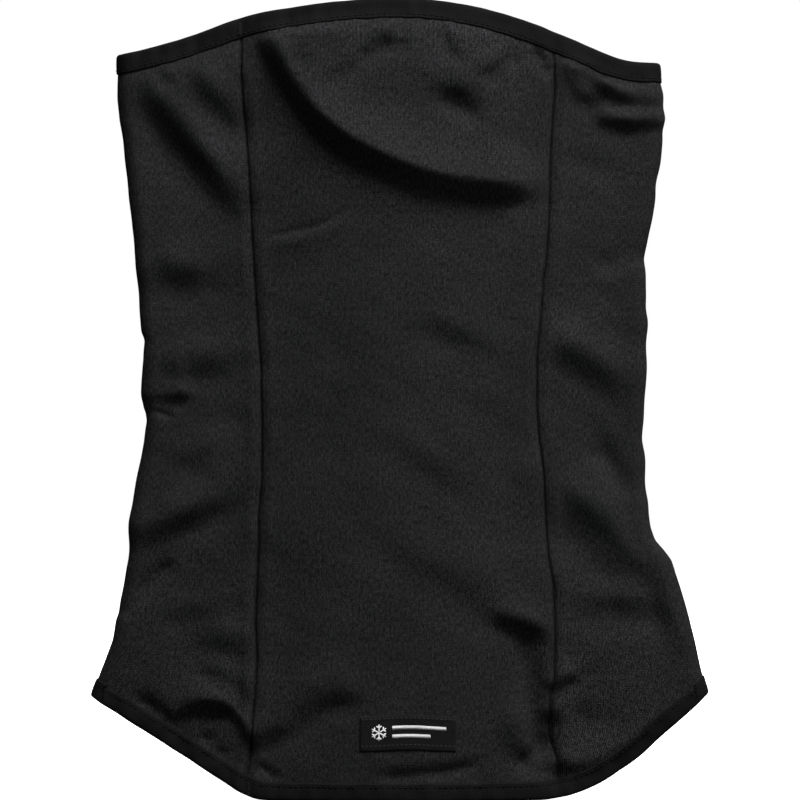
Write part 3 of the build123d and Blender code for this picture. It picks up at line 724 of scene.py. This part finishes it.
def knit(name, level):
    """Weft knit: columns of V stitches."""
    wale, course = 1.06, 0.80       # stitch width and height, mm
    speck = 0.95                    # contrast of the finest heather
    mat, g, shader = new_material(name)
    uv = g.uv()
    u, v, _ = g.split(uv)
    wobble = g.noise(uv, scale=0.16)
    wavy_u = g.calc("ADD", u, g.product(wobble, 0.35))
    column = g.calc("FRACT", g.calc("DIVIDE", wavy_u, wale))
    # 0 in mid column, 0.5 at the gap
    from_middle = g.calc("ABSOLUTE", g.calc("SUBTRACT", column, 0.5))
    row = g.calc("ADD", g.calc("DIVIDE", v, course), g.product(from_middle, 1.7))
    loop = g.sine(row)
    off_arm = g.calc("ABSOLUTE", g.calc("SUBTRACT", from_middle, 0.24))
    arm = g.calc("SUBTRACT", 1.0, g.calc("POWER", g.product(off_arm, 3.6), 2.0))
    stitch = g.product(arm, g.ramp(loop, across=(-1, 1), to=(0.55, 1.0)))
    fine = g.noise(uv, scale=1.9, detail=3.0, roughness=0.62)
    mid = g.noise(uv, scale=0.35, detail=3.0, roughness=0.6)
    broad = g.noise(uv, scale=0.035)
    # heather that follows the columns of stitches
    stretched = g.node("ShaderNodeCombineXYZ")
    g.feed(stretched.inputs[0], u)
    g.feed(stretched.inputs[1], g.product(v, 0.42))
    coarse = g.noise(stretched.outputs[0], scale=1.05, roughness=0.6)
    # dark ground, lighter where yarn stands proud, a little uneven
    value = g.product(
        g.ramp(fine, across=(0.30, 0.72), to=(1.0 - speck, 1.0 + speck)),
        g.ramp(coarse, to=(0.50, 1.52)),
        g.ramp(stitch, across=(0.0, 1.0), to=(0.06, 1.78)),
        g.ramp(mid, to=(0.88, 1.12)),
        g.ramp(broad, to=(0.90, 1.10)))
    # painted shade along the seams: the knit colour is darkened by the per-point shade that
    # build_panel stores on the cloth
    seam_painted_shade = g.node("ShaderNodeAttribute", attribute_name="seam_painted_shade").outputs["Fac"]
    value = g.product(value, g.calc("SUBTRACT", 1.0, seam_painted_shade), level)
    textile(g, shader,
            colour=g.grey(value, tint=(0.985, 0.985, 1.03)),
            height=g.calc("ADD", g.product(stitch, 0.75), g.product(fine, 0.75)),
            bump_mm=0.24, bump_strength=0.75, roughness=0.92, specular=0.008,
            sheen=0.008, sheen_roughness=0.42, sheen_tint=(0.62, 0.63, 0.68))
    return mat


def brushed(name, level):
    """Raised inner face: short tangled pile."""
    mat, g, shader = new_material(name)
    uv = g.uv()
    fine = g.noise(uv, scale=1.3, detail=4.0, roughness=0.7)
    mid = g.noise(uv, scale=0.22, detail=3.0, roughness=0.6)
    value = g.product(g.ramp(fine, to=(0.55, 1.5)), g.ramp(mid, to=(0.8, 1.2)), level)
    textile(g, shader, colour=g.grey(value, tint=(0.99, 0.99, 1.02)), height=fine,
            bump_mm=0.35, bump_strength=0.9, roughness=0.95, specular=0.1,
            sheen=0.08, sheen_roughness=0.5, sheen_tint=(0.6, 0.6, 0.65))
    return mat


def tape(name, level):
    """Smooth folded elastic: fine ribs across the tape, a soft shine."""
    rib_pitch, weft_pitch = 0.9, 0.7    # mm
    mat, g, shader = new_material(name)
    uv = g.uv()
    u, v, _ = g.split(uv)
    fine = g.noise(uv, scale=1.7, detail=3.0, roughness=0.6)
    mid = g.noise(uv, scale=0.18)
    rib = g.sine(g.calc("ADD", g.calc("DIVIDE", u, rib_pitch), g.product(mid, 1.4)))
    weft = g.sine(g.calc("DIVIDE", v, weft_pitch))
    weave = g.calc("ADD", g.product(rib, 0.6), g.product(rib, weft, 0.4))
    value = g.product(
        g.ramp(fine, to=(0.68, 1.32)),
        g.ramp(weave, across=(-1, 1), to=(0.82, 1.16)),
        g.ramp(mid, to=(0.9, 1.1)),
        level)
    textile(g, shader, colour=g.grey(value, tint=(1.0, 1.0, 1.02)),
            height=g.calc("ADD", weave, fine), bump_mm=0.10, roughness=0.8, specular=0.012,
            sheen=0.006, sheen_roughness=0.4, sheen_tint=(0.6, 0.6, 0.63))
    return mat


def yarn(name, level, pitch=0.5, vary=0.25):
    """Twisted thread: diagonal plies along it."""
    mat, g, shader = new_material(name)
    uv = g.uv()
    u, v, _ = g.split(uv)
    ply = g.sine(g.calc("ADD", g.calc("DIVIDE", u, pitch), g.product(v, 1.0)))
    fine = g.noise(uv, scale=2.2)
    spread = (1 - vary, 1 + vary * 0.4)
    value = g.product(g.ramp(ply, across=(-1, 1), to=spread), g.ramp(fine, to=spread), level)
    textile(g, shader, colour=g.grey(value), height=ply, bump_mm=0.06,
            roughness=0.55, specular=0.015, sheen=0.006)
    return mat


def woven(name, level, tint=(1, 1, 1), pitch=0.32, vary=0.25, roughness=0.5):
    """Tight damask ribbon: warp and weft."""
    mat, g, shader = new_material(name)
    uv = g.uv()
    u, v, _ = g.split(uv)
    warp = g.sine(g.calc("DIVIDE", u, pitch))
    weft = g.sine(g.calc("DIVIDE", v, pitch * 1.15))
    weave = g.product(warp, weft)
    fine = g.noise(uv, scale=2.6)
    mid = g.noise(uv, scale=0.25)
    spread = (1 - vary, 1 + vary)
    value = g.product(
        g.ramp(weave, across=(-1, 1), to=spread),
        g.ramp(fine, to=spread),
        g.ramp(mid, to=(0.92, 1.08)),
        level)
    textile(g, shader, colour=g.grey(value, tint), height=weave, bump_mm=0.07,
            roughness=roughness, specular=0.012, sheen=0.004)
    return mat


KNIT = knit("knit_face", level=0.0132)
PILE = brushed("knit_inside", level=0.016)
TAPE_TOP = tape("binding_tape_upper", level=0.0052)
TAPE_LOW = tape("binding_tape_lower", level=0.0060)
THREAD = yarn("black_thread", level=0.0085)
TACK = yarn("tack_thread", level=0.022)
LABEL = woven("label_ground", level=0.0080)
WHITE = yarn("white_thread", level=0.80, pitch=0.45, vary=0.16)
NEEDLE = yarn("label_needle_thread", level=0.036, pitch=0.45, vary=0.2)
SATIN = woven("care_ribbon", level=0.55, tint=(1.0, 0.99, 0.97), pitch=0.25, vary=0.06,
              roughness=0.35)


# -------------------------------------------------------------------- panels
# A column is (face, across(z), plan x(z), distance to the nearest seam).
SEAM_COLUMNS = (0.22, 0.5, 0.85, 1.3, 1.9, 2.7, 3.6, 4.6, 5.9, 6.3)  # mm from a seam
CLOSEST_COLUMNS = 0.16              # mm
WIDTH_HEIGHT = 0.19                 # height at which a panel's width is measured


def cloth_ends(face, plan_x):
    """Lowest and highest z of the cloth along a line."""
    return (solve_edge(face, plan_x, False) + EDGE_INSET,
            solve_edge(face, plan_x, True) - EDGE_INSET)


def flank_columns(face, start, end, seams, pitch):
    """Columns from start(z) to end(z), tighter by a seam; seams holds 0 for a seam at
    the start and 1 for one at the end."""
    here = np.array(WIDTH_HEIGHT)
    width = abs(float(end(here) - start(here)))
    width_mm = width / MM
    shares = list(np.linspace(0, 1, max(int(width / (pitch * MM)), 6)))
    for where in seams:
        shares += [abs(where - gap / width_mm) for gap in SEAM_COLUMNS]
    shares = sorted(set(round(share, 6) for share in shares))
    kept = [shares[0]]
    for share in shares[1:]:
        if (share - kept[-1]) * width_mm > CLOSEST_COLUMNS:
            kept.append(share)
    kept[-1] = 1.0

    def column(share):
        def plan_x(z):
            return start(z) + (end(z) - start(z)) * share
        return face, plan_x, plan_x, min(abs(where - share) * width for where in seams)

    return [column(share) for share in kept]


def fold_columns(side):
    face = LEFT_FOLD if side > 0 else RIGHT_FOLD

    def column(angle):
        # the last entry only has to be far from any seam
        return face, lambda z: angle, lambda z: fold_x(side, angle, z), 1.0

    return [column(angle) for angle in np.radians(np.linspace(-90, 90, 17)[1:-1])]


def build_panel(name, piece, columns):
    low, high = np.array([cloth_ends(face, plan_x) for face, _, plan_x, _ in columns]).T
    rows = int(ROW_SPAN / (STEP * MM * 1.05))
    z = low + (high - low) * np.linspace(0, 1, rows)[:, None]
    face = np.broadcast_to([c[0] for c in columns], z.shape)
    across = np.stack([np.broadcast_to(c[1](z[:, j]), (rows,))
                       for j, c in enumerate(columns)], 1)
    to_seam = np.broadcast_to([c[3] for c in columns], z.shape)
    below_top, above_low = high - z, z - low
    # the seam edge turns down into the seam
    turn = np.exp(-(to_seam / (0.62 * MM)) ** 2)
    away = np.clip(np.minimum(below_top, above_low) / (12 * MM) - 0.45, 0, 1)
    outer = surface(face, across, z, -1.15 * MM * turn * away)
    allowance = (to_seam < 6.0 * MM) & (below_top > 9 * MM) & (above_low > 9 * MM)
    # the front and back lap the side panels a little on the inside, so that no
    # light passes between the two edges of a seam
    lap = 0.0
    if piece in ("front_panel", "back_panel"):
        lap = np.where(to_seam < 0.1 * MM, np.sign(across) * 0.35 * MM, 0.0)
    inner = surface(face, across + lap, z, -CLOTH - np.where(allowance, SEAM_ALLOWANCE, 0.0))
    # UVs: across by arc length at mid height, up by z
    arc = lengths(outer[rows // 2]) / MM
    ob = shell(name, outer, inner, np.stack([np.broadcast_to(arc, z.shape), z / MM], -1))
    finish_piece(ob, "shell_knit", piece, KNIT, PILE)
    # painted shade: the knit colour is darkened where the cloth turns down into a seam, standing
    # in for the shade that falls in the seam's groove
    seam_painted_shade = ob.data.attributes.new("seam_painted_shade", "FLOAT", "POINT")
    shade = np.concatenate([0.42 * turn.ravel(), np.zeros(turn.size)])
    seam_painted_shade.data.foreach_set("value", shade.astype(np.float32))
    quads = (rows - 1) * (len(columns) - 1)
    index = np.zeros(len(ob.data.polygons), np.int32)
    index[quads: 2 * quads] = 1     # the inner face is pile
    ob.data.polygons.foreach_set("material_index", index)


for key, face, pitch in (("front", FRONT, STEP), ("back", BACK, BACK_STEP)):
    build_panel(key + "_panel_cloth", key + "_panel", flank_columns(
        face, lambda z: seam(-1, z) + SEAM_GAP, lambda z: seam(1, z) - SEAM_GAP,
        (0, 1), pitch))

for key, side in (("left", 1), ("right", -1)):
    def seam_edge(z):
        return seam(side, z) + side * SEAM_GAP

    def side_edge(z):
        return fold_centre(side, z)

    build_panel(key + "_side_cloth", key + "_side_panel",
                flank_columns(FRONT, seam_edge, side_edge, (0,), STEP)
                + fold_columns(side)
                + flank_columns(BACK, side_edge, seam_edge, (1,), BACK_STEP))


# ------------------------------------------------------------------ bindings
# Outer leaf of the folded tape, from its edge to near the fold:
# (share of the tape width in from the fold, height off the cloth in mm).
TAPE_SECTION = [
    (1, 0.12), (0.985, 0.48), (0.93, 0.66), (0.86, 0.68), (0.80, 0.58), (0.74, 0.70),
    (0.62, 0.80), (0.48, 0.86), (0.34, 0.88), (0.20, 0.86), (0.10, 0.72), (0.045, 0.45),
]
STITCH_LINE = 0.80                  # share of the tape width where it is stitched
# One stitch: (place along it in stitch lengths, height in mm).
STITCH = [(-0.5, -0.22), (-0.36, 0.12), (-0.12, 0.22), (0.12, 0.22), (0.36, 0.12), (0.5, -0.22)]


def flank_edge(face, upper):
    """Evenly spaced edge points of the front or back, from right to left."""
    inward = -1 if upper else 1
    ends = []
    for side in (-1, 1):
        z = solve_edge(face, lambda z: fold_centre(side, z), upper)
        ends.append(float(fold_centre(side, z)))
    dense = np.linspace(*ends, 2000)
    s = lengths(np.stack([dense, edge_height(face, dense, upper)], -1))
    even = np.linspace(0, s[-1], int(s[-1] / (RING_STEP * MM)) + 1)
    x = np.interp(even, s, dense)
    reach = 1.2 * MM
    slope = (edge_height(face, x + reach, upper) - edge_height(face, x - reach, upper)) / (
        2 * reach)
    norm = np.sqrt(1 + slope * slope)
    # the inward direction turns upright towards the side folds
    fade = smoothstep(np.minimum(even, s[-1] - even) / (12 * MM))
    inward_x = -slope / norm * inward * fade
    inward_z = inward / norm * fade + inward * (1 - fade)
    return np.stack(
        [np.full(x.shape, face), x, edge_height(face, x, upper), inward_x, inward_z], -1)


def fold_edge(side, upper):
    """Edge points of a side fold, from front to back."""
    face = LEFT_FOLD if side > 0 else RIGHT_FOLD
    rows = []
    for angle in np.radians(np.linspace(-90, 90, 25)[1:-1]):
        z = solve_edge(face, lambda z: fold_x(side, angle, z), upper)
        rows.append((face, angle, z, 0.0, -1.0 if upper else 1.0))
    return np.array(rows)


def edge_ring(upper):
    """Once round an opening: face, across, z, inward x, inward z."""
    return np.concatenate([
        flank_edge(FRONT, upper), fold_edge(1, upper),
        flank_edge(BACK, upper)[::-1], fold_edge(-1, upper)[::-1]]).T


def on_ring(ring, inset, off):
    """Points at a distance in from the edge and off the cloth."""
    face, across, z, inward_x, inward_z = ring
    return surface(face, across + inward_x * inset, z + inward_z * inset, off)


def build_binding(key, upper, width, mat, seed):
    ring = edge_ring(upper)
    # round the section from the outer leaf's edge over the fold to the inner leaf's
    # edge, and back between the leaves
    outer = [(share * width, h * MM) for share, h in TAPE_SECTION]
    fold = [(0.0, -0.15 * MM), (0.0, -0.8 * MM), (0.0, -1.45 * MM)]
    inner = [(inset, -CLOTH - h) for inset, h in reversed(outer)]
    near, far = width - 0.4 * MM, width - 2 * MM
    close = [(near, -CLOTH - 0.02 * MM), (far, -CLOTH + 0.04 * MM),
             (far, -0.04 * MM), (near, 0.02 * MM)]
    section = outer + fold + inner + close
    n, m = ring.shape[1], len(section)
    s = lengths(on_ring(ring, 0.5 * width, 0.0))
    turn = s / s[-1] * 2 * np.pi
    # gathers that the stitching draws into the tape
    rng = np.random.default_rng(seed)
    pucker = np.zeros(n)
    for _ in range(7):
        k = round(s[-1] / rng.uniform(0.006, 0.017))
        pucker += np.sin(turn * k + rng.uniform(0, 6.28))
    pucker /= 2.2
    slow = np.sin(turn * 9 + 1.0) + 0.7 * np.sin(turn * 23 + 2.0)
    lines = []
    for inset, h in section:
        share = inset / width
        bump = (0.10 * pucker * np.sin(np.pi * min(share, 1)) + 0.03 * slow) * MM
        shift = (0.14 * pucker * share + 0.10 * slow * (0.3 + share)) * MM
        outside = h > -0.5 * CLOTH
        lines.append(on_ring(ring, inset + shift, h + (bump if outside else -bump)))
    verts = np.stack(lines, 1).reshape(-1, 3)
    r, c = np.arange(n)[:, None], np.arange(m)[None, :]
    r1, c1 = (r + 1) % n, (c + 1) % m
    faces = np.stack([r * m + c, r * m + c1, r1 * m + c1, r1 * m + c], -1).reshape(-1, 4)
    uv = np.broadcast_arrays((s / MM)[:, None], lengths(np.array(section)) / MM)
    ob = cloth_object(key + "_binding_tape", verts, faces.tolist(),
                      np.stack(uv, -1).reshape(-1, 2))
    face_outwards(ob)
    finish_piece(ob, "binding_elastic", key + "_binding", mat)
    return ring


def ring_stitches(ring, name, inset, off):
    pitch, length = 2.7 * MM, 2.2 * MM
    s = lengths(on_ring(ring, inset, 0.0))
    count = int(s[-1] / pitch)
    levels = {h: on_ring(ring, inset, (off + h) * MM) for h in (-0.22, 0.12, 0.22)}
    runs = []
    for j in range(count):
        centre = (j + 0.5) * s[-1] / count
        run = []
        for place, h in STITCH:
            k = np.interp(centre + place * length, s, np.arange(len(s)))
            k0 = int(min(k, len(s) - 2))
            f = k - k0
            run.append(levels[h][k0] * (1 - f) + levels[h][k0 + 1] * f)
        runs.append(run)
    tubes(name, runs, 0.21 * MM, THREAD, "sewing_thread")


TOP_WIDTH, BOTTOM_WIDTH = 9.2 * MM, 8.6 * MM
top_ring = build_binding("top", True, TOP_WIDTH, TAPE_TOP, seed=51)
bottom_ring = build_binding("bottom", False, BOTTOM_WIDTH, TAPE_LOW, seed=50)
for key, ring, width in (("top", top_ring, TOP_WIDTH), ("bottom", bottom_ring, BOTTOM_WIDTH)):
    inset = width * STITCH_LINE
    ring_stitches(ring, key + "_binding_topstitch", inset, off=0.62)
    ring_stitches(ring, key + "_binding_understitch", inset, off=-(1.6 + 0.62))


# ------------------------------------------------------------------- threads
def bartack(key, x, z, width, height):
    """Seven rows of thread across a tape join; sizes in mm."""
    rows, sway = 7, 0.1645
    runs = []
    for k in range(rows):
        row_z = z + height / 2 - height * k / (rows - 1)
        xs = x + width * (np.array([0, 0.3, 0.6, 1.0]) - 0.5)
        zs = row_z + sway * np.array([1, -1, 1, -1])
        runs.append(surface(FRONT, xs * MM, zs * MM, 1.28 * MM))
    tubes(key + "_binding_bartack_threads", runs, 0.17 * MM, TACK, "sewing_thread",
          key + "_binding_bartack")


bartack("top", x=-74.495, z=360.96, width=1.88, height=4.7)
bartack("bottom", x=-70.265, z=6.11, width=1.692, height=5.17)


def overlock(face, key, side, hand):
    """Zigzag thread inside a long seam."""
    low, high = cloth_ends(face, lambda z: seam(side, z))
    low, high = low + 9.5 * MM, high - 9.5 * MM
    n = int((high - low) / (1.25 * MM))
    z = np.linspace(low, high, n)
    x = seam(side, z) + np.where(np.arange(n) % 2 == 0, 2.3, -2.3) * MM
    run = surface(face, x, z, -(CLOTH + SEAM_ALLOWANCE + 0.32 * MM))
    tubes(key + "_" + hand + "_overlock_thread", [run], 0.24 * MM, THREAD, "sewing_thread",
          key + "_" + hand + "_seam_thread", sides=5)


for face, key in ((FRONT, "front"), (BACK, "back")):
    for side, hand in ((1, "left"), (-1, "right")):
        overlock(face, key, side, hand)

# --------------------------------------------------------------------- label
LABEL_X, LABEL_Z = -18.565, 40.185          # upper right corner, mm
LABEL_WIDTH, LABEL_HEIGHT = 45.12, 16.45    # as placed, mm
WEAVE_WIDTH, WEAVE_HEIGHT = 45, 16.4        # as woven, for the UVs and the rim, mm


def label_point(across, down, off):
    """Points on the label, 0..1 across and down, with its slight arch."""
    arch = -0.564 + 4.324 * (across - 0.5) ** 2
    x = LABEL_X + LABEL_WIDTH * across
    z = LABEL_Z - LABEL_HEIGHT * down - arch * (0.9 - 0.5 * down) - 0.188 * np.sin(across * 9)
    return surface(FRONT, x * MM, z * MM, off * MM)


def label_runs(lines, off):
    """Lines are (start, end, number of points)."""
    runs = []
    for (across0, down0), (across1, down1), count in lines:
        f = np.linspace(0, 1, count)
        runs.append(label_point(
            across0 + (across1 - across0) * f, down0 + (down1 - down0) * f, off))
    return runs


def label_cloth():
    across, down = np.meshgrid(np.linspace(0, 1, 97), np.linspace(0, 1, 37))
    rim = np.minimum(np.minimum(across, 1 - across) * WEAVE_WIDTH,
                     np.minimum(down, 1 - down) * WEAVE_HEIGHT)
    lift = 0.16 + 0.50 * (1 - np.exp(-(rim / 0.5) ** 2))
    lift += 0.04 * np.sin(across * 40 + down * 7)
    uv = np.stack([across * WEAVE_WIDTH, (1 - down) * WEAVE_HEIGHT], -1)
    ob = shell("label_cloth", label_point(across, down, lift),
               label_point(across, down, 0.04), uv)
    finish_piece(ob, "label_weave", "label_patch", LABEL)


def crystal_lines():
    """A six-armed snow crystal with a pair of twigs on each arm."""
    centre_across, centre_down = 0.20, 0.46
    arm = 3.854 / LABEL_WIDTH
    aspect = LABEL_WIDTH / LABEL_HEIGHT

    def away(start, degrees, length):
        angle = math.radians(degrees)
        return (start[0] + length * math.cos(angle),
                start[1] - length * math.sin(angle) * aspect)

    centre = (centre_across, centre_down)
    lines = []
    for degrees in range(90, 450, 60):
        lines.append((centre, away(centre, degrees, arm), 5))
        fork = away(centre, degrees, arm * 0.58)
        for spread in (55, -55):
            lines.append((fork, away(fork, degrees + spread, arm * 0.40), 4))
    return lines


def bar_lines():
    """Two plain bars of slanted satin stitches beside the crystal."""
    pitch, lean = 0.3854 / LABEL_WIDTH, 0.1645 / LABEL_WIDTH
    half = 0.052
    lines = []
    for down, start, end in ((0.34, 0.34, 0.90), (0.58, 0.34, 0.74)):
        for k in range(int((end - start) / pitch)):
            across = start + k * pitch
            lines.append(((across, down - half), (across + lean, down + half), 3))
    return lines


label_cloth()
tubes("label_crystal", label_runs(crystal_lines(), 0.74), 0.30 * MM, WHITE, "emblem_thread",
      sides=8, flatten=0.45)
tubes("label_bars", label_runs(bar_lines(), 0.72), 0.21 * MM, WHITE, "emblem_thread",
      "label_emblem", flatten=0.5)
for key, down in (("top", 0.075), ("bottom", 0.83)):
    starts = [0.015 + k * 0.97 / 21.5 for k in range(22)]
    rows = [((start, down), (start + 0.026, down + 0.004), 5) for start in starts]
    tubes("label_" + key + "_needle_thread", label_runs(rows, 0.70), 0.19 * MM, NEEDLE,
          "emblem_thread", "label_stitch_" + key, flatten=0.7)


# ---------------------------------------------------------------- care label
def care_ribbon():
    """Satin ribbon inside the back."""
    low, high = 283 * MM, 317 * MM
    x, z = np.meshgrid(np.linspace(12 * MM, 32 * MM, 41), np.linspace(low, high, 61))
    curl = 0.5 * MM * np.sin((z - low) / (high - low) * np.pi * 0.9)
    curl += 0.3 * MM * np.sin(x / MM * 0.35)
    outer, inner = (surface(BACK, x, z, -(CLOTH + gap * MM) - curl * 0.6) for gap in (0.9, 1.2))
    ob = shell("care_ribbon", outer, inner, np.stack([x, z], -1) / MM)
    finish_piece(ob, "care_label_satin", "care_label", SATIN)


care_ribbon()


# --------------------------------------------------------------------- stage
def floor_material():
    """Pale and evenly lit where the camera sees it, but it throws little light back
    up into the folds."""
    mat, g, shader = new_material("pale_floor")
    surface_input = shader.outputs[0].links[0].to_socket
    place = g.node("ShaderNodeTexCoord").outputs["Object"]
    fine = g.noise(place, scale=9.0)
    g.feed(shader.inputs["Base Color"], g.grey(g.ramp(fine, to=(0.93, 0.97))))
    shader.inputs["Roughness"].default_value = 0.9
    shader.inputs["Specular IOR Level"].default_value = 0.0
    distance = g.node("ShaderNodeVectorMath", operation="LENGTH")
    g.feed(distance.inputs[0], place)
    shader.inputs["Emission Color"].default_value = (1, 1, 1, 1)
    glow = g.ramp(distance.outputs["Value"], across=(0.20, 0.45), to=(0.80, 1.0))
    g.feed(shader.inputs["Emission Strength"], glow)
    dull = g.node("ShaderNodeBsdfDiffuse")
    dull.inputs[0].default_value = (0.10, 0.10, 0.10, 1)
    pick = g.node("ShaderNodeMixShader")
    g.feed(pick.inputs[0], g.node("ShaderNodeLightPath").outputs["Is Camera Ray"])
    g.feed(pick.inputs[1], dull.outputs[0])
    g.feed(pick.inputs[2], shader.outputs[0])
    g.feed(surface_input, pick.outputs[0])
    return mat


def build_floor():
    half, z = 3, -0.0015
    corners = [(-half, -half, z), (half, -half, z), (half, half, z), (-half, half, z)]
    mesh = bpy.data.meshes.new("floor")
    mesh.from_pydata(corners, [], [(0, 1, 2, 3)])
    floor = new_object("floor", mesh)
    mesh.materials.append(floor_material())


def area_light(name, location, target, width, height, energy):
    light = bpy.data.lights.new(name, "AREA")
    light.energy = energy
    light.shape = "RECTANGLE"
    light.size = width
    light.size_y = height
    ob = new_object(name, light)
    ob.location = location
    aim = Vector(target) - Vector(location)
    ob.rotation_euler = aim.to_track_quat("-Z", "Y").to_euler()
    ob.visible_camera = False


def build_world():
    """White to the camera; as light, a dim sky that brightens upwards."""
    world = bpy.data.worlds.new("studio")
    bpy.context.scene.world = world
    g = Graph(world)
    output = g.node("ShaderNodeOutputWorld")
    seen, sky = g.node("ShaderNodeBackground"), g.node("ShaderNodeBackground")
    for background in (seen, sky):
        background.inputs[0].default_value = (1, 1, 1, 1)
    seen.inputs[1].default_value = 1.0
    up = g.split(g.node("ShaderNodeTexCoord").outputs["Generated"])[2]
    g.feed(sky.inputs[1], g.ramp(up, across=(-0.1, 0.9), to=(0.008, 0.22)))
    pick = g.node("ShaderNodeMixShader")
    g.feed(pick.inputs[0], g.node("ShaderNodeLightPath").outputs["Is Camera Ray"])
    g.feed(pick.inputs[1], sky.outputs[0])
    g.feed(pick.inputs[2], seen.outputs[0])
    g.feed(output.inputs[0], pick.outputs[0])


def build_camera():
    """Looks level at the front; the view is view_width across at y = 0."""
    distance, view_width, sensor = 2.215, 0.376, 36
    data = bpy.data.cameras.new("camera")
    camera = new_object("camera", data)
    camera.location = (0.235 * MM, -distance, 187.53 * MM)
    camera.rotation_euler = (math.pi / 2, 0, 0)
    data.sensor_width = sensor
    data.lens = sensor * distance / view_width
    data.clip_start = 0.05
    data.clip_end = 20
    bpy.context.scene.camera = camera


build_floor()
area_light("key_top", (0.42, -0.66, 1.50), (0, 0, 0.20), width=1.1, height=0.45, energy=62)
area_light("fill_left", (-1.3, -1.1, 0.45), (0, 0, 0.18), width=0.9, height=0.9, energy=0.3)
area_light("fill_right", (1.3, -0.9, 0.55), (0, 0, 0.2), width=0.9, height=0.9, energy=5.5)
area_light("rear", (0.2, 1.5, 1.0), (0, 0, 0.2), width=1.4, height=1.4, energy=24)
build_world()
build_camera()
view = bpy.context.scene.view_settings
view.view_transform = "Standard"
view.look = "None"
view.exposure = 0.0
